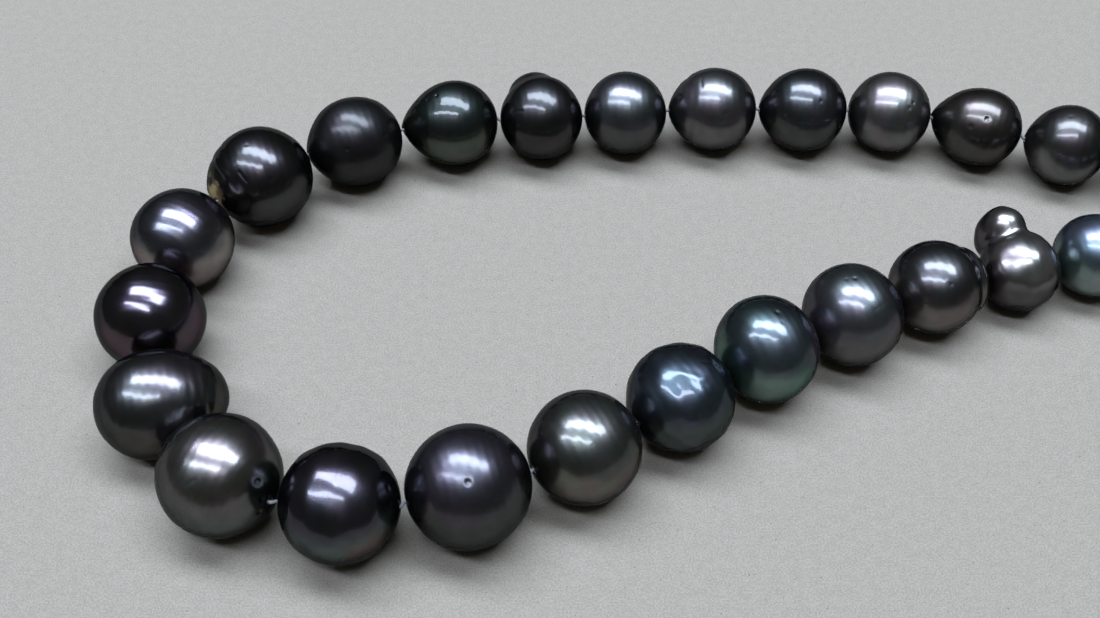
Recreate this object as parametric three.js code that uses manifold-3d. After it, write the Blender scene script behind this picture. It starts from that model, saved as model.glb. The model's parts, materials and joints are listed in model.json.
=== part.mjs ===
// A strand of thirty-three dark baroque pearls, laid out on a table in a U with its ball clasp unfastened.
// Millimetres. +X runs from the bend to the two ends, +Y across the U, +Z up from the table.
import * as THREE from 'three';
import { mergeVertices } from 'three/addons/utils/BufferGeometryUtils.js';
import Module from 'manifold-3d';

const wasm = await Module();
wasm.setup();

// Driving dimensions
const CLEARANCE = 0.25; // between neighbouring pearls, along the strand
const BORE = 1.0; // diameter of the hole drilled through every pearl
const THREAD = 0.4; // diameter of the silk thread
const THREAD_SIDES = 6;
const PEARL_SIDES = 14; // facets round a pearl's growth axis
const CAP_STEPS = 5; // facets from a pearl's widest section to its tip
const ROUND = 0.5; // tip exponents: a round end, a tapered one and a pointed one
const TAPERED = 0.62;
const POINTED = 0.72;
const RING_WIDTH = 0.45; // half width of a ring groove
const CENTRE_PEARL = 17; // the pearl at the middle of the strand, in the bend of the U

const LOOP_RADIUS = 1.5; // bullion loop, centre of the loop to the middle of its wire
const LOOP_WIRE = 0.7;
const LOOP_OPENING = 0.9; // half angle left open towards the pearl, radians
const EYE_RADIUS = 1.6; // eye of each clasp half, to the middle of its wire
const EYE_WIRE = 0.7;
const EYE_PLAY = 0.2; // the eye's centre past the loop's far wire
const CLASP_PLAY = 0.45; // between the clasp's parts, and twice the gap from each loop to its pearl
const BALL_RADIUS = 4.0;
const BALL_WALL = 0.5;
const SLOT_WIDTH = 3.6;
const SLOT_HEIGHT = 1.5;
const DISC_RADIUS = 2.4; // the tongue's stop disc
const DISC_THICKNESS = 0.8;
const LEAF_WIDTH = 2.8;
const LEAF_LENGTH = 6.2;
const LEAF_THICKNESS = 0.4;
const LEAF_GAP = 0.3; // between the two leaves at the fold
const LEAF_RISE = 0.16; // slope of the sprung leaf above the lower one, radians
const TAB_HEIGHT = 1.2;
const TONGUE_DROOP = 0.26; // the unfastened tongue leans nose down onto the table, radians

// Points that the pearls' centres follow, from the near arm's end, round the bend, to the far arm's end
const NEAR_ARM = [[172, 9.5], [161.5, 11], [151.3, 12.1], [131, 12.8], [110.7, 10.5], [101, 8.1], [90.4, 4.8],
  [80.1, 0.3], [69.7, -4.9], [60, -11.4], [49.4, -18.1], [37.4, -23.2], [24.3, -25.2], [11.5, -21.9], [2.5, -12.5]];
const BEND = [0, 0];
const FAR_ARM = [[1.4, 12.2], [9.5, 23], [20.7, 30.1], [33.2, 33.7], [44.5, 34.9], [67.3, 36.7], [79.1, 36.5],
  [90.5, 36.2], [102, 33.5], [112.3, 30], [132.4, 26.5], [152.8, 26.6], [162.9, 27.7], [173, 29]];

// Every pearl in stringing order. d is its diameter, and back and front are how far it reaches along the thread
// from its centre. tipBack and tipFront shape its ends. rings are grooves [place along the growth axis, depth].
// turn swings the growth axis away from the thread, with reach as its own two half lengths, and knob is a lump
// grown on its side: [along, across, up, radius].
const PEARLS = [
  { d: 9.5, back: 4.8, front: 4.7 },
  { d: 9.6, back: 4.9, front: 5.3, tipFront: TAPERED },
  { d: 9.8, back: 4.9, front: 4.9 },
  { d: 9.7, back: 5.4, front: 4.9, tipBack: TAPERED, rings: [[-2.8, 0.2]] },
  { d: 9.9, back: 5.0, front: 5.0 },
  { d: 10.1, back: 5.0, front: 4.9 },
  { d: 9.6, back: 4.6, front: 4.9, knob: [0.7, -5.2, 2.2, 3.0] },
  { d: 11.2, back: 6.3, front: 5.4, rings: [[-4.4, 0.35], [-5.5, 0.3]] },
  { d: 12.0, back: 5.7, front: 5.6 },
  { d: 12.3, back: 5.8, front: 5.8 },
  { d: 12.0, back: 5.9, front: 6.1 },
  { d: 12.2, back: 6.2, front: 6.2 },
  { d: 13.0, back: 6.6, front: 6.7 },
  { d: 12.6, back: 6.3, front: 6.3 },
  { d: 13.0, back: 6.6, front: 6.6 },
  {
    d: 12.0, back: 6.2, front: 6.1, turn: -104, reach: [6.0, 8.3], rings: [[4.4, 0.2], [5.6, 0.2], [6.8, 0.2]],
  },
  { d: 12.4, back: 6.3, front: 6.1, rings: [[4.5, 0.2], [5.3, 0.2]] },
  { d: 12.2, back: 6.0, front: 6.2 },
  {
    d: 12.5, back: 7.0, front: 6.3, turn: -20, reach: [7.1, 6.3], tipBack: TAPERED,
    rings: [[-3.8, 0.15], [-5.2, 0.2]],
  },
  { d: 11.5, back: 6.6, front: 6.0, tipBack: TAPERED },
  { d: 11.2, back: 6.9, front: 5.6, turn: -5, reach: [7.1, 5.6], tipBack: POINTED },
  { d: 11.0, back: 5.5, front: 5.4, knob: [-0.9, 2.8, 0.6, 3.8] },
  { d: 10.9, back: 5.5, front: 5.4 },
  { d: 11.0, back: 6.2, front: 5.5, tipBack: TAPERED, rings: [[-3.6, 0.2]] },
  { d: 11.0, back: 6.2, front: 5.5, tipBack: TAPERED },
  { d: 10.7, back: 5.5, front: 5.3 },
  { d: 10.3, back: 6.3, front: 5.2, turn: -7, reach: [6.7, 5.2], tipBack: POINTED },
  { d: 10.4, back: 5.6, front: 5.0, tipBack: TAPERED },
  { d: 10.0, back: 5.1, front: 5.0 },
  { d: 9.8, back: 5.4, front: 4.9, tipBack: TAPERED },
  { d: 9.7, back: 4.9, front: 4.9, rings: [[2.6, 0.2], [3.5, 0.2]] },
  { d: 9.6, back: 4.8, front: 4.9 },
  { d: 9.5, back: 4.8, front: 4.8 },
];

const NACRE = { color: 0x3c4046, roughness: 0.22, metalness: 0.35 };
const SILK = { color: 0xb9b9b4, roughness: 0.85, metalness: 0 };
const WHITE_GOLD = { color: 0xc9c7c0, roughness: 0.25, metalness: 1 };

const necklace = new THREE.Group();

function addMesh(parent, name, geometry, look) {
  const mesh = new THREE.Mesh(geometry, new THREE.MeshStandardMaterial(look));
  mesh.name = name;
  parent.add(mesh);
  return mesh;
}

// A closed three.js geometry as a manifold solid, without the zero-area triangles at a lathe's poles
function toSolid(geometry) {
  geometry.deleteAttribute('normal');
  geometry.deleteAttribute('uv');
  const merged = mergeVertices(geometry, 1e-4);
  const corners = merged.index.array;
  const kept = [];
  for (let i = 0; i < corners.length; i += 3) {
    const [a, b, c] = [corners[i], corners[i + 1], corners[i + 2]];
    if (a !== b && b !== c && c !== a) kept.push(a, b, c);
  }
  const vertProperties = new Float32Array(merged.attributes.position.array);
  return new wasm.Manifold(new wasm.Mesh({ numProp: 3, vertProperties, triVerts: new Uint32Array(kept) }));
}

function toGeometry(solid) {
  const mesh = solid.getMesh();
  const geometry = new THREE.BufferGeometry();
  geometry.setAttribute('position', new THREE.BufferAttribute(new Float32Array(mesh.vertProperties), 3));
  geometry.setIndex(new THREE.BufferAttribute(new Uint32Array(mesh.triVerts), 1));
  return geometry;
}

// A cylinder along X between two places
function rod(radius, from, to, sides) {
  const geometry = new THREE.CylinderGeometry(radius, radius, to - from, sides);
  return geometry.rotateZ(-Math.PI / 2).translate((from + to) / 2, 0, 0);
}

// Pearls

// Radius of a pearl at a place along its growth axis: an ellipse at ROUND, slimmer with a larger tip exponent
function pearlRadius(place, { radius, reach, tips, rings }) {
  const side = place < 0 ? 0 : 1;
  const u = Math.min(Math.abs(place) / reach[side], 1);
  const groove = rings.reduce((sum, [at, depth]) => sum + depth * Math.exp(-(((place - at) / RING_WIDTH) ** 2)), 0);
  return Math.max(radius * (1 - u * u) ** tips[side] - groove, 0);
}

function growthPlaces({ reach, rings }) {
  const places = [];
  for (let k = -CAP_STEPS; k <= CAP_STEPS; k += 1) {
    places.push(Math.sin((Math.PI / 2) * (k / CAP_STEPS)) * reach[k < 0 ? 0 : 1]);
  }
  for (const [at] of rings) {
    for (const beside of [-2, 0, 2]) places.push(at + beside * RING_WIDTH);
  }
  places.sort((a, b) => a - b);
  const inside = places.filter((place) => place > -0.97 * reach[0] && place < 0.97 * reach[1]);
  const spaced = inside.filter((place, k) => k === 0 || place - inside[k - 1] > RING_WIDTH / 2);
  return [-reach[0], ...spaced, reach[1]];
}

function pearlGeometry(row) {
  const shape = {
    // the mean of the corners' and the flats' radii is the pearl's radius
    radius: row.d / (1 + Math.cos(Math.PI / PEARL_SIDES)),
    reach: row.reach ?? [row.back, row.front],
    tips: [row.tipBack ?? ROUND, row.tipFront ?? ROUND],
    rings: row.rings ?? [],
  };
  const outline = growthPlaces(shape).map((place) => new THREE.Vector2(pearlRadius(place, shape), place));
  outline[0].x = 0;
  outline[outline.length - 1].x = 0;
  const body = new THREE.LatheGeometry(outline, PEARL_SIDES, Math.PI / PEARL_SIDES);
  body.rotateZ(-Math.PI / 2).rotateZ(THREE.MathUtils.degToRad(row.turn ?? 0));
  let solid = toSolid(body);
  if (row.knob) {
    const [along, across, up, radius] = row.knob;
    const knob = new THREE.SphereGeometry(radius, PEARL_SIDES, 8).rotateX(Math.PI / 2).translate(along, across, up);
    solid = solid.add(toSolid(knob));
  }
  const far = 2 * row.d;
  return toGeometry(solid.subtract(toSolid(rod(BORE / 2, -far, far, 8))));
}

// The lay of the strand: pearl centres stepped along the route, outwards from the centre pearl

const routePoints = [...NEAR_ARM, BEND, ...FAR_ARM].map(([x, y]) => new THREE.Vector3(x, y, 0));
const route = new THREE.CatmullRomCurve3(routePoints, false, 'centripetal');
const centreAt = NEAR_ARM.length / (routePoints.length - 1);

function stepAlong(from, distance, sense) {
  const start = route.getPoint(from);
  let near = from;
  let far = sense > 0 ? 1 : 0;
  while (Math.abs(far - near) > 1e-7) {
    const middle = (near + far) / 2;
    if (route.getPoint(middle).distanceTo(start) < distance) near = middle;
    else far = middle;
  }
  return near;
}

function spacing(index) {
  return PEARLS[index].front + CLEARANCE + PEARLS[index + 1].back;
}

const places = [];
places[CENTRE_PEARL - 1] = centreAt;
for (let i = CENTRE_PEARL; i < PEARLS.length; i += 1) places[i] = stepAlong(places[i - 1], spacing(i - 1), 1);
for (let i = CENTRE_PEARL - 2; i >= 0; i -= 1) places[i] = stepAlong(places[i + 1], spacing(i), -1);

// Each pearl lies on the table, tilted by the little that its neighbours' sizes differ
const pearls = PEARLS.map((row, i) => {
  const before = PEARLS[Math.max(i - 1, 0)];
  const after = PEARLS[Math.min(i + 1, PEARLS.length - 1)];
  const tangent = route.getTangent(places[i]);
  const name = `pearl_${String(i + 1).padStart(2, '0')}`;
  const pearl = addMesh(necklace, name, pearlGeometry(row), NACRE);
  pearl.position.copy(route.getPoint(places[i]));
  pearl.rotation.order = 'ZYX';
  pearl.rotation.z = Math.atan2(tangent.y, tangent.x);
  pearl.rotation.y = -Math.atan2((after.d - before.d) / 2, before.front + row.back + row.front + after.back);
  pearl.updateMatrixWorld(true);
  pearl.position.z = -new THREE.Box3().setFromObject(pearl, true).min.z;
  pearl.updateMatrixWorld(true);
  return pearl;
});

function mouth(index, sense) {
  const reach = sense > 0 ? PEARLS[index].front : -PEARLS[index].back;
  return pearls[index].localToWorld(new THREE.Vector3(reach, 0, 0));
}

// The thread: straight through every bore, with one corner at each bore's mouth

class ThreadRoute extends THREE.Curve {
  constructor(corners) {
    super();
    this.corners = corners;
  }

  getPoint(t) {
    const along = t * (this.corners.length - 1);
    const k = Math.min(Math.floor(along), this.corners.length - 2);
    return new THREE.Vector3().lerpVectors(this.corners[k], this.corners[k + 1], along - k);
  }

  getPointAt(u) {
    return this.getPoint(u);
  }

  getTangentAt(u) {
    const half = 0.5 / (this.corners.length - 1);
    const ahead = this.getPoint(Math.min(u + half, 1));
    return ahead.sub(this.getPoint(Math.max(u - half, 0))).normalize();
  }
}

const threadCorners = PEARLS.flatMap((row, i) => [mouth(i, -1), mouth(i, 1)]);

function threadGeometry() {
  const outline = new THREE.Shape();
  for (let k = 0; k < THREAD_SIDES; k += 1) {
    const angle = (2 * Math.PI * k) / THREAD_SIDES;
    outline[k === 0 ? 'moveTo' : 'lineTo'](Math.cos(angle) * (THREAD / 2), Math.sin(angle) * (THREAD / 2));
  }
  outline.closePath();
  const extrudePath = new ThreadRoute(threadCorners);
  extrudePath.getSpacedPoints = () => threadCorners;
  return new THREE.ExtrudeGeometry(outline, { steps: threadCorners.length - 1, extrudePath, bevelEnabled: false });
}

addMesh(necklace, 'silk_thread', threadGeometry(), SILK);

// A frame at each end of the strand: its origin at the last bore's mouth, +X away from the strand, +Z up
function endFrame(index, sense) {
  const frame = new THREE.Group();
  frame.position.copy(mouth(index, sense));
  frame.rotation.z = pearls[index].rotation.z + (sense > 0 ? 0 : Math.PI);
  necklace.add(frame);
  return frame;
}

// The bullion loop leans down from the bore's mouth to the clasp's eye, and how far out that eye lies is returned
function addLoop(frame, name, eyeHeight) {
  const centre = LOOP_RADIUS + LOOP_WIRE / 2 + CLASP_PLAY / 2;
  const far = centre + LOOP_RADIUS;
  const lean = Math.asin((eyeHeight - frame.position.z) / far);
  const holder = new THREE.Group();
  holder.rotation.y = -lean;
  frame.add(holder);
  const sweep = 2 * (Math.PI - LOOP_OPENING);
  const wire = new THREE.Shape().absarc(0, 0, LOOP_WIRE / 2, 0, 2 * Math.PI, false);
  const ring = new THREE.EllipseCurve(0, 0, LOOP_RADIUS, LOOP_RADIUS, -sweep / 2, sweep / 2, false, 0);
  const arc = new THREE.CatmullRomCurve3(ring.getPoints(18).map((p) => new THREE.Vector3(p.x + centre, p.y, 0)));
  const shape = { steps: 18, extrudePath: arc, bevelEnabled: false, curveSegments: 4 };
  addMesh(holder, name, new THREE.ExtrudeGeometry(wire, shape), WHITE_GOLD);
  return far * Math.cos(lean) + EYE_PLAY;
}

// A ring standing in the XZ plane, which the bullion loop runs through
function eyeSolid(x) {
  const ring = new THREE.TorusGeometry(EYE_RADIUS, EYE_WIRE / 2, 8, 18).rotateX(Math.PI / 2).translate(x, 0, 0);
  return toSolid(ring);
}

// Ball clasp: the hollow ball, with its eye behind and its slot in front

function addBall(frame) {
  const eye = addLoop(frame, 'bullion_loop_far', BALL_RADIUS);
  const sphere = (radius, across, down) => toSolid(new THREE.SphereGeometry(radius, across, down));
  const slotLength = 2 * BALL_RADIUS;
  const slot = toSolid(new THREE.BoxGeometry(slotLength, SLOT_WIDTH, SLOT_HEIGHT).translate(slotLength / 2, 0, 0));
  const shell = sphere(BALL_RADIUS, 20, 12).add(eyeSolid(-BALL_RADIUS - EYE_RADIUS + EYE_WIRE / 2));
  const hollow = sphere(BALL_RADIUS - BALL_WALL, 16, 10);
  const ball = addMesh(frame, 'clasp_ball', toGeometry(shell.subtract(hollow).subtract(slot)), WHITE_GOLD);
  ball.position.set(eye + EYE_RADIUS - EYE_WIRE / 2 + BALL_RADIUS, 0, BALL_RADIUS - frame.position.z);
}

// Tongue: a stop disc with an eye behind and a lower leaf in front, and a sprung leaf folded back over it

function addTongue(frame) {
  const discHeight = DISC_RADIUS * Math.cos(TONGUE_DROOP) + DISC_THICKNESS * Math.sin(TONGUE_DROOP);
  const eyeBack = EYE_RADIUS - EYE_WIRE / 2;
  const eyeHeight = discHeight + eyeBack * Math.sin(TONGUE_DROOP);
  const eye = addLoop(frame, 'bullion_loop_near', eyeHeight);
  const tongue = new THREE.Group();
  tongue.position.set(eye + eyeBack * Math.cos(TONGUE_DROOP), 0, discHeight - frame.position.z);
  tongue.rotation.y = TONGUE_DROOP;
  frame.add(tongue);

  const tip = DISC_THICKNESS + LEAF_LENGTH;
  const lower = new THREE.BoxGeometry(tip, LEAF_WIDTH, LEAF_THICKNESS);
  lower.translate(tip / 2, 0, -LEAF_THICKNESS - LEAF_GAP / 2);
  const disc = rod(DISC_RADIUS, 0, DISC_THICKNESS, 24);
  const base = toSolid(disc).add(toSolid(lower)).add(eyeSolid(-eyeBack));
  addMesh(tongue, 'clasp_tongue', toGeometry(base), WHITE_GOLD);

  const leafLength = LEAF_LENGTH - 2 * CLASP_PLAY;
  const leaf = new THREE.BoxGeometry(leafLength, LEAF_WIDTH, LEAF_THICKNESS);
  leaf.translate(-leafLength / 2, 0, LEAF_THICKNESS / 2);
  const tab = new THREE.BoxGeometry(LEAF_THICKNESS, LEAF_WIDTH / 2, TAB_HEIGHT);
  tab.translate(-leafLength + LEAF_THICKNESS, 0, LEAF_THICKNESS + TAB_HEIGHT / 2 - CLASP_PLAY / 2);
  const sprung = addMesh(tongue, 'tongue_leaf', toGeometry(toSolid(leaf).add(toSolid(tab))), WHITE_GOLD);
  sprung.position.set(tip - CLASP_PLAY, 0, LEAF_GAP / 2);
  sprung.rotation.y = LEAF_RISE;
}

addTongue(endFrame(0, -1));
addBall(endFrame(PEARLS.length - 1, 1));

// The origin is at the middle of the necklace's box, on the table
necklace.updateMatrixWorld(true);
const box = new THREE.Box3().setFromObject(necklace, true);
necklace.position.set(-(box.min.x + box.max.x) / 2, -(box.min.y + box.max.y) / 2, -box.min.z);

export default necklace;
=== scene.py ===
"""A strand of dark baroque pearls lying in a U on pale grey cloth, with its ball clasp unfastened."""

import json
import math

import bpy
import numpy as np
from mathutils import Matrix, Vector


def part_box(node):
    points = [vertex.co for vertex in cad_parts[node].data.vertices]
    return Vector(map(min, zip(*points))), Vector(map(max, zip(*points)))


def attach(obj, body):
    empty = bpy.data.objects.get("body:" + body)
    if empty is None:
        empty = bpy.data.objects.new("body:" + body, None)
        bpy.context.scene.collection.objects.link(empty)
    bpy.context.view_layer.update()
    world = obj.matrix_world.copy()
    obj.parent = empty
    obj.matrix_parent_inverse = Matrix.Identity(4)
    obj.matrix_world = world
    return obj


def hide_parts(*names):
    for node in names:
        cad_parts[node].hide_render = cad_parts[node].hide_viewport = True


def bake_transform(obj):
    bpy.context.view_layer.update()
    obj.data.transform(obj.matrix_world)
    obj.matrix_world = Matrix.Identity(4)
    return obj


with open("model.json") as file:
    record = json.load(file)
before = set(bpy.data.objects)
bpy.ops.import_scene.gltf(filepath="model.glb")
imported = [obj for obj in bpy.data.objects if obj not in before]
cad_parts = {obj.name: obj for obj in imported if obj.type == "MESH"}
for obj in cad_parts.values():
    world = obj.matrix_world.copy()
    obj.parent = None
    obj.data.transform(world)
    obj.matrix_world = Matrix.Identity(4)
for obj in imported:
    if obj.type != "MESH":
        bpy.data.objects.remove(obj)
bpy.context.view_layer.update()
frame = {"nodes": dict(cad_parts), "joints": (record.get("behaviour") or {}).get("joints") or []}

MM = 0.001

# Pearl meshes. Lengths without MM are in millimetres.
ROWS = 144  # from one bore mouth to the other
COLUMNS = 208  # round the thread
BORE_RADIUS = 0.5 * MM
RIM = 0.1 * MM  # the rounded edge of a bore's mouth
RING_WIDTH = 0.38  # half width of a ring groove
LUMP_HEIGHT = 0.045  # the slow unevenness of every pearl
LUMP_SIZE = 9.0
WRINKLE_SIZE = 3.0
BEND_ROOM = 0.04  # how far a pearl's ends lie below its smooth outline, where neighbours meet in a bend
BEND_EDGE = 0.65  # where that begins, as the cosine of the angle from the thread
BEND_FADE = 0.2
THREAD_RADIUS = 0.2 * MM
ROUND, TAPERED, POINTED = 0.5, 0.62, 0.72  # tip exponents, as in the CAD model

# What a pearl has where its row below doesn't say otherwise
WRINKLE = 0.01
RIPPLE = (0.004, 7.0)
SATIN = 0.33
GLOSS = 0.13

# Nacre tints, each to be scaled by how much light that side of the pearl sends back. On a pearl's upper and
# lower sides a tint holds the pearl's real overtones together with painted light: a painted glow round the
# highlights above and a painted reflection of the floor below.
SILVER = (1.05, 1.0, 1.0)
MIST = (0.95, 1.0, 0.95)
STEEL = (0.95, 1.0, 1.1)
SLATE = (1.05, 1.0, 1.1)
INDIGO = (1.1, 1.0, 1.3)
BLUE = (0.8, 1.0, 1.3)
AQUA = (0.75, 1.0, 1.1)
SEA = (0.8, 1.0, 0.95)
TEAL = (0.65, 1.0, 0.85)
GREEN = (0.9, 1.0, 0.8)
OLIVE = (1.05, 1.0, 0.85)
GOLD = (1.25, 1.0, 0.6)
BRONZE = (1.3, 1.0, 0.85)
PLUM = (1.2, 1.0, 1.15)
ROSE = (1.15, 1.0, 0.95)
WINE = (1.5, 1.0, 1.2)
ROSE_PLAY = (1.06, 0.97, 1.04)  # the two tints that play over every pearl
GREEN_PLAY = (0.93, 1.02, 0.97)

# Every pearl in stringing order, in millimetres, with the CAD model's letters: d is its diameter, back and
# front are how far it reaches along the thread. top and low are the tints of its upper and lower sides, each
# with its strength: partly the pearl's overtones and partly painted light, a painted glow round the
# highlights above and a painted reflection of the floor below. squeeze stretches a knob and melt is how far
# it flows into the body. wrinkle is the height of small lumps, ripple the height and closeness of the waves
# along the growth axis, satin the roughness of the pearl's layers and gloss that of its outer skin.
PEARLS = [
    dict(d=9.5, back=4.8, front=4.7, top=(STEEL, 0.09), low=(GREEN, 0.07)),
    dict(d=9.6, back=4.9, front=5.3, tip_front=TAPERED, top=(SLATE, 0.07), low=(TEAL, 0.07)),
    dict(d=9.8, back=4.9, front=4.9, top=(BLUE, 0.09), low=(OLIVE, 0.07)),
    dict(d=9.7, back=5.4, front=4.9, tip_back=TAPERED, rings=[(-2.8, 0.2)], top=(STEEL, 0.1),
         low=(PLUM, 0.06)),
    dict(d=9.9, back=5.0, front=5.0, top=(SEA, 0.07), low=(STEEL, 0.07)),
    # pearl_06's strong lower tint is a painted brightening where its neighbours shade it.
    dict(d=10.1, back=5.0, front=4.9, top=(BLUE, 0.15), low=(SEA, 0.25), gloss=0.09),
    dict(d=9.6, back=4.6, front=4.9, knob=(0.4, -4.9, 1.4, 2.95), squeeze=(1, 1, 1.3), melt=0.8,
         wrinkle=0.055, satin=0.3, top=(SILVER, 0.2), low=(SILVER, 0.07)),
    dict(d=11.0, back=6.3, front=5.4, reach=(5.5, 5.4), knob=(-3.85, 0, 0, 4.1), squeeze=(0.55, 1, 1),
         melt=0.25, top=(SLATE, 0.06), low=(ROSE, 0.12), gloss=0.1),
    dict(d=12.0, back=5.7, front=5.6, top=(STEEL, 0.1), low=(SILVER, 0.1), gloss=0.14),
    dict(d=12.3, back=5.8, front=5.8, top=(AQUA, 0.08), low=(TEAL, 0.18), gloss=0.09),
    dict(d=12.0, back=5.9, front=6.1, wrinkle=0.045, top=(BLUE, 0.06), low=(SEA, 0.07), gloss=0.08),
    dict(d=12.2, back=6.2, front=6.2, top=(MIST, 0.08), low=(OLIVE, 0.12), gloss=0.1),
    dict(d=13.0, back=6.6, front=6.7, top=(INDIGO, 0.06), low=(MIST, 0.05), gloss=0.18),
    dict(d=12.6, back=6.3, front=6.3, wrinkle=0.02, ripple=(0.015, 3), satin=0.27, top=(INDIGO, 0.04),
         low=(SEA, 0.1), gloss=0.09),
    dict(d=13.0, back=6.6, front=6.6, satin=0.26, top=(SILVER, 0.12), low=(MIST, 0.1), gloss=0.16),
    dict(d=12.0, back=6.2, front=6.1, turn=-104, reach=(6.0, 8.3),
         rings=[(4.4, 0.07), (5.4, 0.1), (6.5, 0.08)], satin=0.28, top=(SLATE, 0.06), low=(OLIVE, 0.05)),
    dict(d=12.4, back=6.3, front=6.1, rings=[(4.5, 0.15), (5.3, 0.15)], satin=0.23, top=(INDIGO, 0.05),
         low=(WINE, 0.05), gloss=0.09),
    dict(d=12.2, back=6.0, front=6.2, satin=0.28, top=(INDIGO, 0.08), low=(ROSE, 0.2)),
    dict(d=12.5, back=7.0, front=6.3, turn=-20, reach=(7.1, 6.3), tip_back=TAPERED,
         rings=[(-3.8, 0.08), (-5.2, 0.1)], satin=0.29, top=(SLATE, 0.03), low=(SILVER, 0.04)),
    dict(d=11.5, back=6.6, front=6.0, tip_back=TAPERED, satin=0.4, top=(SLATE, 0.02), low=(SILVER, 0.02),
         gloss=0.24),
    dict(d=11.2, back=6.9, front=5.6, turn=-5, reach=(7.1, 5.6), tip_back=POINTED, top=(SEA, 0.03),
         low=(GREEN, 0.07), gloss=0.09),
    dict(d=11.0, back=5.5, front=5.4, knob=(-0.6, 2.8, 0.6, 3.8), melt=0.4, top=(SLATE, 0.03),
         low=(SILVER, 0.03)),
    dict(d=10.9, back=5.5, front=5.4, top=(STEEL, 0.1), low=(MIST, 0.06), gloss=0.16),
    dict(d=11.0, back=6.2, front=5.5, tip_back=TAPERED, rings=[(-3.6, 0.12)], top=(SLATE, 0.1),
         low=(SILVER, 0.1)),
    dict(d=11.0, back=6.2, front=5.5, tip_back=TAPERED, top=(STEEL, 0.05), low=(MIST, 0.05)),
    dict(d=10.7, back=5.5, front=5.3, top=(SILVER, 0.12), low=(SILVER, 0.12)),
    dict(d=10.3, back=6.3, front=5.2, turn=-7, reach=(6.7, 5.2), tip_back=POINTED, top=(ROSE, 0.05),
         low=(OLIVE, 0.05)),
    dict(d=10.4, back=5.6, front=5.0, tip_back=TAPERED, top=(SILVER, 0.05), low=(SILVER, 0.12)),
    dict(d=10.0, back=5.1, front=5.0, top=(STEEL, 0.09), low=(TEAL, 0.06)),
    dict(d=9.8, back=5.4, front=4.9, tip_back=TAPERED, top=(BLUE, 0.07), low=(OLIVE, 0.06)),
    dict(d=9.7, back=4.9, front=4.9, rings=[(2.6, 0.2), (3.5, 0.2)], top=(SLATE, 0.09), low=(PLUM, 0.05)),
    dict(d=9.6, back=4.8, front=4.9, top=(STEEL, 0.1), low=(GREEN, 0.06)),
    dict(d=9.5, back=4.8, front=4.8, top=(SEA, 0.07), low=(STEEL, 0.06)),
]

# Growth marks by pearl number. A place is a direction from the pearl's centre: along the thread, across, up.
PITS = {  # (place, radius, depth)
    7: [((0.9, 0, 0.4), 0.5, 0.08)],
    8: [((0.7, 0.6, 0.5), 0.3, 0.08), ((0.2, 0.6, 0.8), 0.2, 0.05)],
    9: [((0.1, -0.1, 1), 0.2, 0.09), ((-0.5, 0.3, 0.8), 0.2, 0.05)],
    10: [((-0.1, 0, 1), 0.25, 0.1)],
    11: [((0.4, 0.3, 0.9), 0.8, 0.07), ((-0.1, 0.5, 0.9), 0.7, 0.06)],
    13: [((0.1, 0.5, 0.9), 0.25, 0.13)],
    14: [((-0.9, 0.2, 0.4), 0.4, 0.14), ((-0.8, 0, 0.5), 0.35, 0.12)],
    15: [((-0.9, 0, 0.5), 0.5, 0.14), ((-1, 0.1, 0.2), 0.4, 0.14), ((-0.9, 0.2, 0), 0.3, 0.1)],
    19: [((-1, -0.2, 0.2), 0.3, 0.1)],
    20: [((-0.9, 0.1, 0.4), 0.25, 0.08), ((-0.4, -0.7, 0.5), 0.2, 0.08), ((0.5, -0.7, 0.6), 0.2, 0.08)],
    21: [((-0.9, 0, 0.5), 0.2, 0.1), ((-0.6, 0, 0.8), 0.2, 0.1), ((-0.4, 0, 0.9), 0.2, 0.1),
         ((-0.8, 0.2, 0.6), 0.2, 0.1)],
    24: [((-0.9, -0.1, 0.5), 0.35, 0.12)],
    25: [((-0.8, -0.1, 0.6), 0.4, 0.16), ((-0.6, -0.7, 0.4), 0.2, 0.08), ((0, -0.9, 0.5), 0.2, 0.08),
         ((0.2, -0.6, 0.8), 0.2, 0.07)],
    26: [((0.4, -0.5, 0.8), 0.2, 0.07), ((0.3, -0.6, 0.7), 0.2, 0.07)],
    27: [((0, -0.6, 0.8), 0.25, 0.14)],
}
CUTS = {  # (from, to, half width, depth), and a ridge's depth is below zero
    9: [((-0.3, 0.5, 0.8), (0.1, 0.6, 0.8), 0.12, 0.02)],
    11: [((-0.3, 0.1, 0.9), (-0.6, 0.2, 0.8), 0.14, 0.06), ((-0.8, -0.1, 0.6), (-0.6, 0.4, 0.7), 0.25, -0.08),
         ((0.2, 0.1, 1), (-0.1, 0.4, 0.9), 0.45, -0.05)],
    14: [((-0.1, 1, 0.1), (-0.1, 0.2, 1), 0.12, 0.03), ((-0.1, 0.2, 1), (-0.1, -0.6, 0.8), 0.12, 0.03)],
    15: [((-0.1, 0.7, 0.7), (-0.2, 0.6, 0.8), 0.12, 0.04)],
    19: [((-0.8, -0.1, 0.6), (-0.7, 0.4, 0.6), 0.3, -0.1),
         ((-0.6, -0.3, 0.7), (-0.6, -0.5, 0.6), 0.18, 0.07)],
    22: [((-0.7, -0.4, 0.6), (-0.5, -0.5, 0.7), 0.14, 0.05)],
    24: [((-0.4, 0, 0.9), (-0.4, -0.2, 0.9), 0.16, 0.05)],
}
PATCHES = {  # (place, overtone, strength, reach in degrees): a part of a pearl with a colour of its own
    10: ((-0.8, 0.4, 0.1), PLUM, 0.16, 50),
    14: ((-0.6, 0.7, -0.2), BRONZE, 0.08, 35),
    19: ((-0.98, 0.2, 0.05), GOLD, 0.4, 21),
}


def pearl_name(index):
    return f"pearl_{index + 1:02d}"


# Where the thread enters and leaves every pearl, from the CAD thread's corners

def mesh_points(node):
    points = [tuple(round(c, 7) for c in vertex.co) for vertex in frame["nodes"][node].data.vertices]
    return np.unique(np.array(points), axis=0)


def box_centre(node):
    low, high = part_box(node)
    return (low + high) / 2


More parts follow.
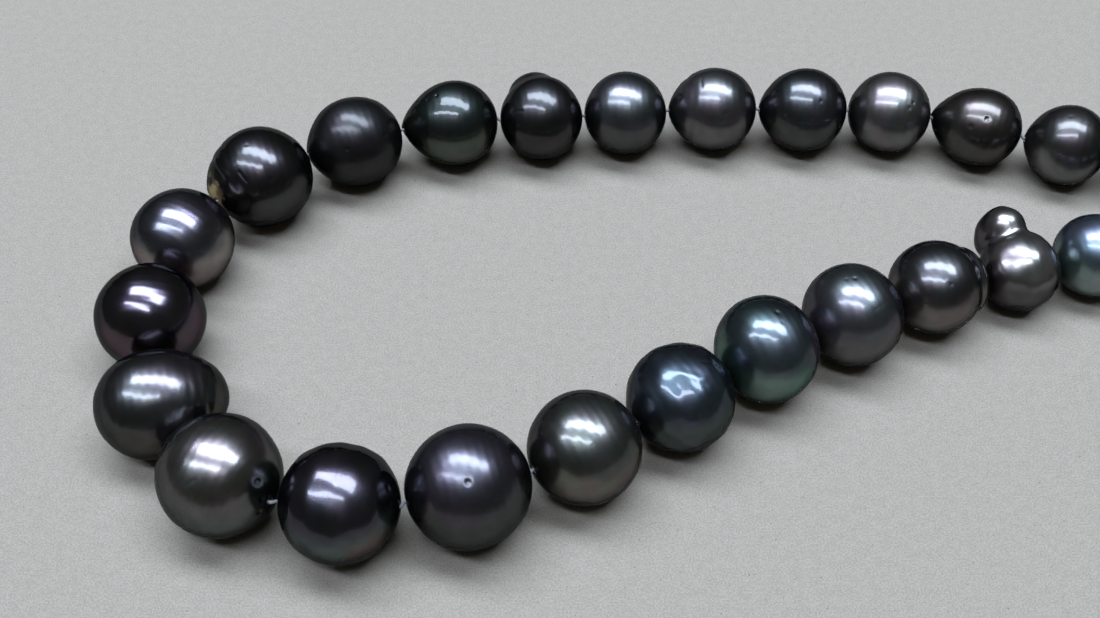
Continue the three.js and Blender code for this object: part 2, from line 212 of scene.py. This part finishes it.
def thread_mouths():
    """[(entry, exit)] of every pearl: the thread has a ring of corners at each bore's mouth."""
    corners = mesh_points("silk_thread")
    hinges = {joint["name"]: np.array(joint["pos_m"]) for joint in frame["joints"]}
    used = np.zeros(len(corners), bool)
    entries, exits = {}, {}
    for i in range(len(PEARLS) - 1):
        hinge = hinges[f"bend_{i + 1:02d}_{i + 2:02d}"]
        ahead = np.array(box_centre(pearl_name(i + 1)) - box_centre(pearl_name(i)))
        near = np.linalg.norm(corners - hinge, axis=1) < 1.5 * MM
        side = (corners - hinge) @ ahead
        exits[i] = corners[near & (side < 0)].mean(0)
        entries[i + 1] = corners[near & (side >= 0)].mean(0)
        used |= near
    ends = corners[~used]
    to_near_end = np.linalg.norm(ends - np.array(box_centre("bullion_loop_near")), axis=1)
    to_far_end = np.linalg.norm(ends - np.array(box_centre("bullion_loop_far")), axis=1)
    entries[0] = ends[to_near_end < to_far_end].mean(0)
    exits[len(PEARLS) - 1] = ends[to_near_end >= to_far_end].mean(0)
    return [(Vector(entries[i]), Vector(exits[i])) for i in range(len(PEARLS))]


mouths = thread_mouths()


def pearl_frame(index):
    """A pearl's own axes, X along the thread, Y level and Z up, and its centre."""
    entry, leaving = mouths[index]
    x = (leaving - entry).normalized()
    y = Vector((0, 0, 1)).cross(x).normalized()
    centre = entry + x * PEARLS[index]["back"] * MM
    return np.array((x, y, x.cross(y))), np.array(centre)


# Meshes made of rings of points

def ring_mesh(name, rings, closed=False):
    """Skins an array of ring, point and coordinate, and caps both ends unless it closes on itself."""
    count, sides = rings.shape[:2]
    spans = count if closed else count - 1
    i, j = (grid.ravel() for grid in np.meshgrid(np.arange(spans), np.arange(sides), indexing="ij"))
    here, after = i * sides, (i + 1) % count * sides
    beside = (j + 1) % sides
    faces = np.stack((here + j, here + beside, after + beside, after + j), axis=1).tolist()
    if not closed:
        faces += [list(range(sides))[::-1], list(range((count - 1) * sides, count * sides))]
    mesh = bpy.data.meshes.new(name)
    mesh.from_pydata(rings.reshape(-1, 3).tolist(), [], faces)
    mesh.shade_smooth()
    return mesh


def circle(radius, sides):
    angles = np.linspace(0, 2 * math.pi, sides, endpoint=False)
    return radius * np.stack((np.cos(angles), np.sin(angles)), axis=1)


def sweep(name, path, section, closed=False):
    """Carries a section, points across and up, along a path. A section may differ from point to point."""
    path = np.array(path, float)
    along = np.roll(path, -1, 0) - np.roll(path, 1, 0) if closed else np.gradient(path, axis=0)
    along /= np.linalg.norm(along, axis=1)[:, None]
    across = np.cross((0, 0, 1) if abs(along[0][2]) < 0.9 else (0, 1, 0), along[0])
    frames = []
    for direction in along:
        across = across - across @ direction * direction
        across /= np.linalg.norm(across)
        frames.append((across, np.cross(direction, across)))
    section = np.broadcast_to(section, (len(path), *np.shape(section)[-2:]))
    return ring_mesh(name, path[:, None] + section @ np.array(frames), closed)


# Pearl shapes, worked out in millimetres in the pearl's own frame

def growth_coordinates(points, row):
    """How far each point lies along the growth axis, and how far from it."""
    turn = math.radians(row.get("turn", 0))
    axis = np.array((math.cos(turn), math.sin(turn), 0))
    along = points @ axis
    return along, np.linalg.norm(points - along[:, None] * axis, axis=1)


def body_excess(points, row):
    """Below zero inside the pearl's body of revolution and above zero outside it."""
    along, away = growth_coordinates(points, row)
    reach = row.get("reach", (row["back"], row["front"]))
    tips = (row.get("tip_back", ROUND), row.get("tip_front", ROUND))
    half = np.where(along < 0, reach[0], reach[1])
    tip = np.where(along < 0, tips[0], tips[1])
    u = np.clip(np.abs(along) / half, 0, 1)
    return away - row["d"] / 2 * (1 - u * u) ** tip + np.maximum(np.abs(along) / half - 1, 0) * half


def pearl_excess(points, row):
    excess = body_excess(points, row)
    if "knob" in row:
        *place, radius = row["knob"]
        stretch = row.get("squeeze", (1, 1, 1))  # the knob's size along, across and up, against its radius
        knob = np.linalg.norm((points - np.array(place)) / stretch, axis=1) - radius
        blend = row["melt"]  # millimetres over which the knob flows into the body
        h = np.clip(0.5 + 0.5 * (excess - knob) / blend, 0, 1)
        excess = excess * (1 - h) + knob * h - blend * h * (1 - h)
    return excess


def surface_distance(directions, row):
    """How far the surface lies from the centre in each direction, by halving."""
    low = np.zeros(len(directions))
    high = np.full(len(directions), 1.5 * row["d"])
    for _ in range(24):
        middle = (low + high) / 2
        outside = pearl_excess(directions * middle[:, None], row) > 0
        high = np.where(outside, middle, high)
        low = np.where(outside, low, middle)
    return (low + high) / 2


def waves(points, size, count, rng):
    """A smooth random field of about unit height, with lumps of the given size."""
    total = np.zeros(len(points))
    for _ in range(count):
        direction = rng.normal(size=3)
        direction /= np.linalg.norm(direction)
        closeness = 2 * math.pi / size * rng.uniform(0.7, 1.4)
        total += np.cos(points @ direction * closeness + rng.uniform(0, 6.3))
    return total / math.sqrt(count)


def dent(gap, radius, depth):
    return -depth * np.exp(-((gap / radius) ** 2))


def random_pits(unit, row, rng):
    total = np.zeros(len(unit))
    for _ in range(int(rng.integers(2, 6))):
        place = rng.normal(size=3)
        place /= np.linalg.norm(place)
        gap = np.linalg.norm(unit - place, axis=1) * row["d"] / 2
        total += dent(gap, rng.uniform(0.12, 0.3), rng.uniform(0.02, 0.06))
    return total


def growth_marks(unit, index):
    """The pits and cuts listed for one pearl."""
    half = PEARLS[index]["d"] / 2
    total = np.zeros(len(unit))
    for place, radius, depth in PITS.get(index + 1, []):
        place = np.array(place) / np.linalg.norm(place)
        total += dent(np.linalg.norm(unit - place, axis=1) * half, radius, depth)
    for start, end, radius, depth in CUTS.get(index + 1, []):
        start, end = (np.array(place) / np.linalg.norm(place) for place in (start, end))
        span = end - start
        t = np.clip((unit - start) @ span / (span @ span), 0, 1)
        nearest = start + t[:, None] * span
        nearest /= np.linalg.norm(nearest, axis=1)[:, None]
        total += dent(np.linalg.norm(unit - nearest, axis=1) * half, radius, depth)
    return total


def surface_detail(points, index, rng):
    """Millimetres added along each direction: lumps, wrinkles, growth ripples, grooves, pits and cuts."""
    row = PEARLS[index]
    along, _ = growth_coordinates(points, row)
    detail = LUMP_HEIGHT * waves(points, LUMP_SIZE, 6, rng)
    detail += row.get("wrinkle", WRINKLE) * waves(points, WRINKLE_SIZE, 8, rng)
    height, closeness = row.get("ripple", RIPPLE)
    detail += height * np.cos(along * closeness + 0.8 * waves(points, 8.0, 3, rng))
    for at, depth in row.get("rings", []):
        wobble = 0.25 * waves(points, 6.0, 3, rng)
        detail += dent(along - at + wobble, RING_WIDTH, depth) * (0.65 + 0.35 * waves(points, 5.0, 4, rng))
    unit = points / np.linalg.norm(points, axis=1)[:, None]
    detail += random_pits(unit, row, rng) + growth_marks(unit, index)
    near_thread = np.clip((np.abs(unit[:, 0]) - BEND_EDGE) / BEND_FADE, 0, 1)
    return detail + near_thread * (np.minimum(detail, 0) - detail - BEND_ROOM)


def pearl_mesh(index):
    row = PEARLS[index]
    rng = np.random.default_rng(index + 1)
    rim = (BORE_RADIUS + RIM) / MM
    theta = np.linspace(math.asin(rim / row["back"]), math.pi - math.asin(rim / row["front"]), ROWS)
    phi = np.linspace(0, 2 * math.pi, COLUMNS, endpoint=False)
    t, p = (grid.ravel() for grid in np.meshgrid(theta, phi, indexing="ij"))
    directions = np.stack((-np.cos(t), np.sin(t) * np.cos(p), np.sin(t) * np.sin(p)), axis=1)
    distance = surface_distance(directions, row)
    distance += surface_detail(directions * distance[:, None], index, rng)
    rows = (directions * distance[:, None]).reshape(ROWS, COLUMNS, 3)
    bore_circle = np.insert(circle(BORE_RADIUS / MM, COLUMNS), 0, 0, axis=1)
    bore_ends = (rows[-1, :, 0].mean() - RIM / MM, rows[0, :, 0].mean() + RIM / MM)
    bore = [bore_circle + np.array((x, 0, 0)) for x in np.linspace(*bore_ends, 5)]
    axes, centre = pearl_frame(index)
    rings = np.concatenate((rows, np.array(bore))) * MM @ axes + centre
    return ring_mesh(pearl_name(index) + "_nacre", rings, closed=True)


# Materials

class Shading:
    """A new material, with short ways to add the nodes that these materials share."""

    def __init__(self, name):
        self.material = bpy.data.materials.new(name)
        self.material.use_nodes = True
        self.nodes, self.links = self.material.node_tree.nodes, self.material.node_tree.links
        self.shader = self.nodes["Principled BSDF"]
        self.place = self.nodes.new("ShaderNodeTexCoord").outputs["Object"]

    def set(self, socket, value):
        """Sets one of the shader's sockets to a value, or links it."""
        if isinstance(value, bpy.types.NodeSocket):
            self.links.new(value, self.shader.inputs[socket])
        else:
            self.shader.inputs[socket].default_value = value

    def noise(self, scale, detail=2.0, place=None):
        texture = self.nodes.new("ShaderNodeTexNoise")
        texture.inputs["Scale"].default_value = scale
        texture.inputs["Detail"].default_value = detail
        self.links.new(place or self.place, texture.inputs["Vector"])
        return texture.outputs["Fac"]

    def stretched(self, scale):
        """The place with each axis scaled, which draws noise out into streaks."""
        node = self.nodes.new("ShaderNodeMapping")
        node.inputs["Scale"].default_value = scale
        self.links.new(self.place, node.inputs["Vector"])
        return node.outputs["Vector"]

    def ramp(self, source, low, high, start=0.0, end=1.0):
        """Maps a value from start..end to low..high, smoothly."""
        node = self.nodes.new("ShaderNodeMapRange")
        node.interpolation_type = "SMOOTHSTEP"
        self.links.new(source, node.inputs["Value"])
        for socket, value in zip(("From Min", "From Max", "To Min", "To Max"), (start, end, low, high)):
            node.inputs[socket].default_value = value
        return node.outputs["Result"]

    def add(self, a, b):
        node = self.nodes.new("ShaderNodeMath")
        self.links.new(a, node.inputs[0])
        self.links.new(b, node.inputs[1])
        return node.outputs[0]

    def mix(self, factor, a, b, blend="MIX"):
        node = self.nodes.new("ShaderNodeMix")
        node.data_type = "RGBA"
        node.blend_type = blend
        colours = [socket for socket in node.inputs if socket.type == "RGBA"]
        for socket, value in zip((node.inputs["Factor"], *colours), (factor, a, b)):
            if isinstance(value, tuple):
                socket.default_value = (*value, 1)
            elif isinstance(value, float):
                socket.default_value = value
            else:
                self.links.new(value, socket)
        return [socket for socket in node.outputs if socket.type == "RGBA"][0]

    def nearness(self, centre, direction):
        """The cosine of the angle, seen from centre, between each place and a direction."""
        offset, unit, dot = (self.nodes.new("ShaderNodeVectorMath") for _ in range(3))
        offset.operation, unit.operation, dot.operation = "SUBTRACT", "NORMALIZE", "DOT_PRODUCT"
        self.links.new(self.place, offset.inputs[0])
        offset.inputs[1].default_value = centre
        self.links.new(offset.outputs["Vector"], unit.inputs[0])
        self.links.new(unit.outputs["Vector"], dot.inputs[0])
        dot.inputs[1].default_value = direction
        return dot.outputs["Value"]

    def bump(self, height, strength, distance):
        node = self.nodes.new("ShaderNodeBump")
        node.inputs["Strength"].default_value = strength
        node.inputs["Distance"].default_value = distance
        self.links.new(height, node.inputs["Height"])
        self.set("Normal", node.outputs[0])
        return node.outputs[0]


# A tint times its strength. For a pearl's upper and lower sides it holds real overtones and painted light
# together.
def overtone_and_painted_light(colour, strength):
    return tuple(c * strength for c in colour)


def nacre(index):
    """Dark mirror-like layers under a glossy skin, tinted one way above and another below: real overtones
    with painted light, a painted glow round the highlights above and a painted floor reflection below.
    """
    row = PEARLS[index]
    top, low = overtone_and_painted_light(*row["top"]), overtone_and_painted_light(*row["low"])
    axes, centre = pearl_frame(index)
    look = Shading(pearl_name(index) + "_nacre")
    patches = look.noise(140.0, 3.0)
    # Upper and lower tints blend by how far each place faces up: a painted highlight glow on top and a
    # painted floor reflection underneath, over the real overtones.
    upness = look.add(look.nearness(centre, (0, 0, 1)), look.ramp(patches, -0.15, 0.15, 0.3, 0.7))
    body = look.mix(look.ramp(upness, 0, 1, 0.2, 0.6), low, top)
    if index + 1 in PATCHES:
        place, hue, strength, reach = PATCHES[index + 1]
        direction = np.array(place) / np.linalg.norm(place) @ axes
        edge, core = (math.cos(math.radians(angle)) for angle in (reach, reach / 3))
        broken_edge = look.ramp(look.noise(500.0, 3.0), -0.04, 0.04, 0.3, 0.7)
        closeness = look.add(look.nearness(centre, direction), broken_edge)
        body = look.mix(look.ramp(closeness, 0, 1, edge, core), body, overtone_and_painted_light(hue, strength))
    play = look.mix(look.ramp(look.noise(230.0, 3.0), 0, 1, 0.35, 0.65), ROSE_PLAY, GREEN_PLAY)
    body = look.mix(1.0, body, play, "MULTIPLY")
    clouds = look.ramp(look.noise(420.0, 4.0), 0.82, 1.1, 0.3, 0.7)
    grey = look.nodes.new("ShaderNodeCombineColor")
    for channel in grey.inputs:
        look.links.new(clouds, channel)
    look.set("Base Color", look.mix(1.0, body, grey.outputs[0], "MULTIPLY"))
    look.set("Metallic", 1.0)
    look.set("Specular Tint", (0.1, 0.1, 0.1, 1))
    satin = row.get("satin", SATIN)
    look.set("Roughness", look.ramp(patches, satin - 0.03, satin + 0.04, 0.3, 0.7))
    look.set("Coat Weight", 0.22)
    look.set("Coat Roughness", row.get("gloss", GLOSS))
    look.set("Coat IOR", 1.8)
    look.set("Coat Normal", look.bump(look.noise(1500.0, 3.0), 0.35, 0.02 * MM))
    return look.material


def silk():
    look = Shading("silk")
    look.set("Base Color", look.mix(look.noise(9000.0, 3.0), (0.08, 0.08, 0.085), (0.16, 0.16, 0.165)))
    look.set("Roughness", 0.7)
    look.set("Sheen Weight", 0.2)
    return look.material


def white_gold():
    """Polished metal with fine rubbing marks and slightly duller worn places."""
    look = Shading("white_gold")
    wear = look.noise(900.0, 4.0)
    rubbed = look.noise(1.0, 3.0, look.stretched((600.0, 9000.0, 2500.0)))
    look.set("Base Color", look.mix(wear, (0.70, 0.68, 0.63), (0.82, 0.80, 0.76)))
    look.set("Roughness", look.ramp(look.add(wear, rubbed), 0.1, 0.34, 0.7, 1.4))
    look.set("Metallic", 1.0)
    look.bump(rubbed, 0.15, 0.01 * MM)
    return look.material


def suede():
    """Fine grey display cloth: a dense nap, faint mottling and a few dark fibres."""
    look = Shading("suede")
    nap = look.noise(5200.0, 4.0)
    mottle = look.ramp(look.noise(900.0, 2.0), 0, 0.06, 0.3, 0.7)
    tone = look.ramp(look.add(nap, mottle), 0, 1, 0.3, 0.8)
    cloth = look.mix(tone, (0.15, 0.135, 0.114), (0.218, 0.197, 0.167))
    fibres = look.ramp(look.noise(3400.0, 2.0), 0, 1, 0.68, 0.76)
    look.set("Base Color", look.mix(fibres, cloth, (0.075, 0.07, 0.064)))
    look.set("Roughness", 1.0)
    look.set("Specular IOR Level", 0.0)
    look.bump(nap, 0.4, 0.03 * MM)
    return look.material


def add_piece(name, mesh, material, body, nodes=()):
    mesh.materials.clear()
    mesh.materials.append(material)
    piece = bpy.data.objects.new(name, mesh)
    bpy.context.scene.collection.objects.link(piece)
    if body:
        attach(piece, body)
    if nodes:
        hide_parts(*nodes)
    return piece


# Pearls
for i in range(len(PEARLS)):
    name = pearl_name(i)
    add_piece(name + "_fine", pearl_mesh(i), nacre(i), name, [name])

# Thread

def stepped(corners, step):
    """Points at even steps along a line with corners."""
    points = []
    for a, b in zip(corners, corners[1:]):
        count = max(2, int((b - a).length / step))
        points += [a.lerp(b, k / count) for k in range(count)]
    return np.array([*points, corners[-1]])


def thread_mesh(name, corners):
    """A three-ply twisted thread through a list of corners."""
    sides, pitch = 18, 1.4 * MM
    path = stepped(corners, 0.12 * MM)
    steps = np.linalg.norm(np.diff(path, axis=0, prepend=path[:1]), axis=1)
    turned = 2 * math.pi * np.cumsum(steps)[:, None] / pitch
    angles = np.linspace(0, 2 * math.pi, sides, endpoint=False)
    plies = 0.78 + 0.22 * np.abs(np.cos(1.5 * (angles - turned)))
    return sweep(name, path, circle(THREAD_RADIUS, sides) * plies[..., None])


silk_material = silk()
for i in range(len(PEARLS) - 1):
    (entry_a, exit_a), (entry_b, exit_b) = mouths[i], mouths[i + 1]
    corners = [(entry_a + exit_a) / 2, exit_a, entry_b, (entry_b + exit_b) / 2]
    name = f"thread_{i + 1:02d}_{i + 2:02d}"
    piece = add_piece(name, thread_mesh(name, corners), silk_material, None, ["silk_thread"])
    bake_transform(piece)
for i, name, k in ((0, "thread_end_near", 0), (len(PEARLS) - 1, "thread_end_far", 1)):
    middle = (mouths[i][0] + mouths[i][1]) / 2
    mesh = thread_mesh(name, [mouths[i][k], middle])
    add_piece(name, mesh, silk_material, pearl_name(i), ["silk_thread"])

# Clasp, with the CAD model's sizes and places, in millimetres in the frame of its end of the strand
LOOP_RADIUS, LOOP_WIRE, LOOP_OPENING = 1.5, 0.7, 0.9
EYE_RADIUS, EYE_WIRE, EYE_PLAY = 1.6, 0.7, 0.2
CLASP_PLAY = 0.45
BALL_RADIUS, BALL_WALL = 4.0, 0.5
SLOT_WIDTH, SLOT_HEIGHT = 3.6, 1.5
DISC_RADIUS, DISC_THICKNESS = 2.4, 0.8
LEAF_WIDTH, LEAF_LENGTH, LEAF_THICKNESS, LEAF_GAP = 2.8, 6.2, 0.4, 0.3
LEAF_RISE = 0.16
TAB_HEIGHT = 1.2
TONGUE_DROOP = 0.26
COIL_WIRE = 0.13  # the fine wire that the bullion is wound from
SEAM_WIRE = 0.16  # width of the groove between the ball's two halves
DISC_BEVEL = 0.12
BEVEL_CORNER = 0.035

gold = white_gold()


def end_frame(index, sense):
    """The frame of one end of the strand: origin at the last bore's mouth, X away from the strand, Z up."""
    entry, leaving = mouths[index]
    origin = leaving if sense > 0 else entry
    away = (leaving - entry) * sense
    return Matrix.Translation(origin) @ Matrix.Rotation(math.atan2(away.y, away.x), 4, "Z")


def placed(mesh, matrix):
    """Brings a mesh made in millimetres into the model."""
    mesh.transform(matrix @ Matrix.Scale(MM, 4))
    return mesh


def carved(name, base, joined=(), cut=()):
    """A solid with others joined to it and cut out of it."""
    objects = [bpy.data.objects.new(name, mesh) for mesh in (base, *joined, *cut)]
    for thing in objects:
        bpy.context.scene.collection.objects.link(thing)
    for k, tool in enumerate(objects[1:]):
        modifier = objects[0].modifiers.new("carve", "BOOLEAN")
        modifier.operation = "UNION" if k < len(joined) else "DIFFERENCE"
        modifier.object = tool
    bpy.context.view_layer.update()
    mesh = bpy.data.meshes.new_from_object(objects[0].evaluated_get(bpy.context.evaluated_depsgraph_get()))
    for thing in objects:
        bpy.data.objects.remove(thing)
    mesh.shade_smooth()
    mesh.set_sharp_from_angle(angle=math.radians(32))
    return mesh


def turned_profile(name, profile, sides=72):
    """A solid turned about X from a list of (place, radius)."""
    rings = [np.insert(circle(radius, sides), 0, x, axis=1) for x, radius in profile]
    return ring_mesh(name, np.array(rings))


def ball_profile(radius, steps=36):
    angles = np.linspace(-math.pi / 2 + 0.02, math.pi / 2 - 0.02, steps)
    return [(radius * math.sin(a), radius * math.cos(a)) for a in angles]


def rounded_section(width, thickness, rounding):
    """The outline of a flat strip with rounded edges."""
    corners = []
    for k, (y, z) in enumerate(((1, 1), (-1, 1), (-1, -1), (1, -1))):
        for angle in np.linspace(k * math.pi / 2, (k + 1) * math.pi / 2, 5):
            across = y * (width / 2 - rounding) + rounding * math.cos(angle)
            up = z * (thickness / 2 - rounding) + rounding * math.sin(angle)
            corners.append((across, up))
    return np.array(corners)


def eye_mesh(x):
    """A ring standing in the XZ plane, which the bullion loop runs through."""
    path = np.insert(circle(EYE_RADIUS, 64) + (x, 0), 1, 0, axis=1)
    return sweep("eye", path, circle(EYE_WIRE / 2, 20), closed=True)


def leaning(matrix, eye_height):
    """The frame of a bullion loop that leans to its eye's height, and how far out that eye lies."""
    far = 2 * LOOP_RADIUS + LOOP_WIRE / 2 + CLASP_PLAY / 2
    lean = math.asin((eye_height - matrix.translation.z / MM) / far)
    return matrix @ Matrix.Rotation(-lean, 4, "Y"), far * math.cos(lean) + EYE_PLAY


def add_bullion(side, holder, body):
    """The thread's end loop, hidden inside a sleeve of fine wire wound into a coil."""
    centre = LOOP_RADIUS + LOOP_WIRE / 2 + CLASP_PLAY / 2
    half_sweep = math.pi - LOOP_OPENING
    turns = 2 * half_sweep * LOOP_RADIUS / COIL_WIRE
    a = np.linspace(-half_sweep, half_sweep, int(turns * 16))
    wound = a / (2 * half_sweep) * turns * 2 * math.pi
    out = LOOP_RADIUS + (LOOP_WIRE - COIL_WIRE) / 2 * np.cos(wound)
    up = (LOOP_WIRE - COIL_WIRE) / 2 * np.sin(wound)
    helix = np.stack((centre + out * np.cos(a), out * np.sin(a), up), axis=1)
    coil = placed(sweep("coil", helix, circle(COIL_WIRE / 2, 8)), holder)
    add_piece(f"bullion_{side}", coil, gold, body, [f"bullion_loop_{side}"])
    for k, sense in enumerate((-1, 1)):
        ends = [(centre + LOOP_RADIUS * math.cos(angle), sense * LOOP_RADIUS * math.sin(angle), 0)
                for angle in (half_sweep, half_sweep - 0.4)]
        corners = [Vector(p) * MM for p in ((-0.6, 0, 0), (0, 0.12 * sense, 0), *ends)]
        leg = thread_mesh("leg", corners)
        leg.transform(holder)
        add_piece(f"thread_{side}_leg_{k + 1}", leg, silk_material, body, ["silk_thread"])


def add_ball(matrix):
    """The hollow ball, two pressed halves with a seam between them, an eye behind and a slot in front."""
    holder, eye = leaning(matrix, BALL_RADIUS)
    add_bullion("far", holder, pearl_name(len(PEARLS) - 1))
    shell = turned_profile("ball", ball_profile(BALL_RADIUS))
    hollow = turned_profile("hollow", ball_profile(BALL_RADIUS - BALL_WALL))
    collar = turned_profile("collar", [(-4.15, 0.35), (-4.1, 0.6), (-3.95, 0.75), (-3.7, 0.8)], 32)
    seam_path = np.insert(circle(BALL_RADIUS + 0.03, 96), 0, 0, axis=1)
    seam = sweep("seam", seam_path, circle(SEAM_WIRE / 2, 8), closed=True)
    slot = sweep("slot", [(x, 0, 0) for x in (0.5, 3, 8)], rounded_section(SLOT_WIDTH, SLOT_HEIGHT, 0.35))
    joined = (collar, eye_mesh(-BALL_RADIUS - EYE_RADIUS + EYE_WIRE / 2))
    mesh = carved("clasp_ball", shell, joined, (hollow, slot, seam))
    out = eye + EYE_RADIUS - EYE_WIRE / 2 + BALL_RADIUS
    middle = Vector((out, 0, BALL_RADIUS - matrix.translation.z / MM))
    ball = placed(mesh, matrix @ Matrix.Translation(middle * MM))
    add_piece("clasp_ball_fine", ball, gold, "ball", ["clasp_ball"])


def add_tongue(matrix):
    """A stop disc with an eye behind it, and a strip of spring folded back over itself in front."""
    disc_height = DISC_RADIUS * math.cos(TONGUE_DROOP) + DISC_THICKNESS * math.sin(TONGUE_DROOP)
    eye_back = EYE_RADIUS - EYE_WIRE / 2
    holder, eye = leaning(matrix, disc_height + eye_back * math.sin(TONGUE_DROOP))
    add_bullion("near", holder, pearl_name(0))
    origin = Vector((eye + eye_back * math.cos(TONGUE_DROOP), 0, disc_height - matrix.translation.z / MM))
    tongue = matrix @ Matrix.Translation(origin * MM) @ Matrix.Rotation(TONGUE_DROOP, 4, "Y")

    strip = rounded_section(LEAF_WIDTH, LEAF_THICKNESS, 0.08)
    middle = (LEAF_GAP + LEAF_THICKNESS) / 2  # height of each leaf's middle
    fold = DISC_THICKNESS + LEAF_LENGTH - middle
    edge = [(0, DISC_BEVEL), (BEVEL_CORNER, BEVEL_CORNER), (DISC_BEVEL, 0)]
    disc_back = [(x, DISC_RADIUS - inset) for x, inset in edge]
    disc_front = [(DISC_THICKNESS - x, radius) for x, radius in disc_back[::-1]]
    disc = turned_profile("disc", disc_back + disc_front, 96)
    lower = sweep("lower", [(x, 0, -middle) for x in (0.3, 3, fold)], strip)
    base = carved("clasp_tongue", disc, (lower, eye_mesh(-eye_back)))
    add_piece("clasp_tongue_fine", placed(base, tongue), gold, "tongue", ["clasp_tongue"])

    rise = math.tan(LEAF_RISE)
    turn = np.linspace(-math.pi / 2, math.pi / 2 - LEAF_RISE, 17)
    bend = np.stack((fold + middle * np.cos(turn), 0 * turn, middle * np.sin(turn)), axis=1)
    bend = np.concatenate(([(fold - 0.05, 0, -middle)], bend))
    mesh = placed(sweep("fold", bend, strip), tongue)
    piece = add_piece("leaf_fold", mesh, gold, None, ["tongue_leaf"])
    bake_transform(piece)

    start = bend[-1]
    length = LEAF_LENGTH - 2 * CLASP_PLAY - middle
    steps = np.linspace(0, 1, 15)
    back = [start + (-length * s, 0, length * s * rise + 0.12 * math.sin(math.pi * s)) for s in steps]
    leaf = sweep("leaf", back, strip * (1, -1))
    tip = back[-1]
    tab_section = rounded_section(LEAF_THICKNESS, LEAF_WIDTH / 2, 0.12)
    tab = sweep("tab", [tip + (0.2, 0, z) for z in (0, 0.5 * TAB_HEIGHT, TAB_HEIGHT)], tab_section)
    mesh = placed(carved("leaf", leaf, (tab,)), tongue)
    add_piece("tongue_leaf_fine", mesh, gold, "leaf", ["tongue_leaf"])


add_tongue(end_frame(0, -1))
add_ball(end_frame(len(PEARLS) - 1, 1))

# Stage, in metres: the table, two ceiling lights, a faint warm fill, the room's glow and the camera
TABLE_HALF = 0.9
LIGHT_TURN = math.radians(-16)
LIGHT_COLOUR = (0.88, 1.0, 1.2)
FILL_COLOUR = (1.0, 0.6, 0.4)
ROOM_COLOUR = (0.082, 0.086, 0.067, 1)
CAMERA_PLACE = (-0.0416, -0.1044, 0.1225)
CAMERA_DOWN = 49.28  # degrees below level
CAMERA_ANGLE = 44.75  # degrees from side to side


def add_table():
    corners = [(x * TABLE_HALF, y * TABLE_HALF, 0) for x, y in ((-1, -1), (1, -1), (1, 1), (-1, 1))]
    mesh = bpy.data.meshes.new("table")
    mesh.from_pydata(corners, [], [(0, 1, 2, 3)])
    mesh.materials.append(suede())
    table = bpy.data.objects.new("table", mesh)
    bpy.context.scene.collection.objects.link(table)


def add_light(name, place, length, width, turn, colour, radiance):
    light = bpy.data.lights.new(name, "AREA")
    light.shape = "RECTANGLE"
    light.color = colour
    light.size, light.size_y = length, width
    light.energy = radiance * math.pi * length * width
    lamp = bpy.data.objects.new(name, light)
    lamp.location = place
    lamp.rotation_euler = (0, 0, turn)
    bpy.context.scene.collection.objects.link(lamp)


def add_room_glow():
    world = bpy.data.worlds.new("room")
    world.use_nodes = True
    world.node_tree.nodes["Background"].inputs["Color"].default_value = ROOM_COLOUR
    bpy.context.scene.world = world


def add_camera():
    lens = bpy.data.cameras.new("camera")
    lens.sensor_width = 36
    lens.angle = math.radians(CAMERA_ANGLE)
    lens.clip_start = 0.005
    camera = bpy.data.objects.new("camera", lens)
    camera.location = CAMERA_PLACE
    camera.rotation_euler = (math.radians(90 - CAMERA_DOWN), 0, 0)
    bpy.context.scene.collection.objects.link(camera)
    bpy.context.scene.camera = camera
    bpy.context.scene.view_settings.view_transform = "Standard"


add_table()
add_light("wide_light", (0.0, 0.34, 1.6), 2.16, 0.56, LIGHT_TURN, LIGHT_COLOUR, 20.0)
add_light("narrow_light", (-0.65, -0.42, 1.6), 1.95, 0.21, LIGHT_TURN, LIGHT_COLOUR, 25.0)
add_light("warm_fill", (-0.05, -0.2, 0.36), 0.1, 0.05, 0.0, FILL_COLOUR, 1.8)
add_room_glow()
add_camera()

bpy.context.view_layer.update()
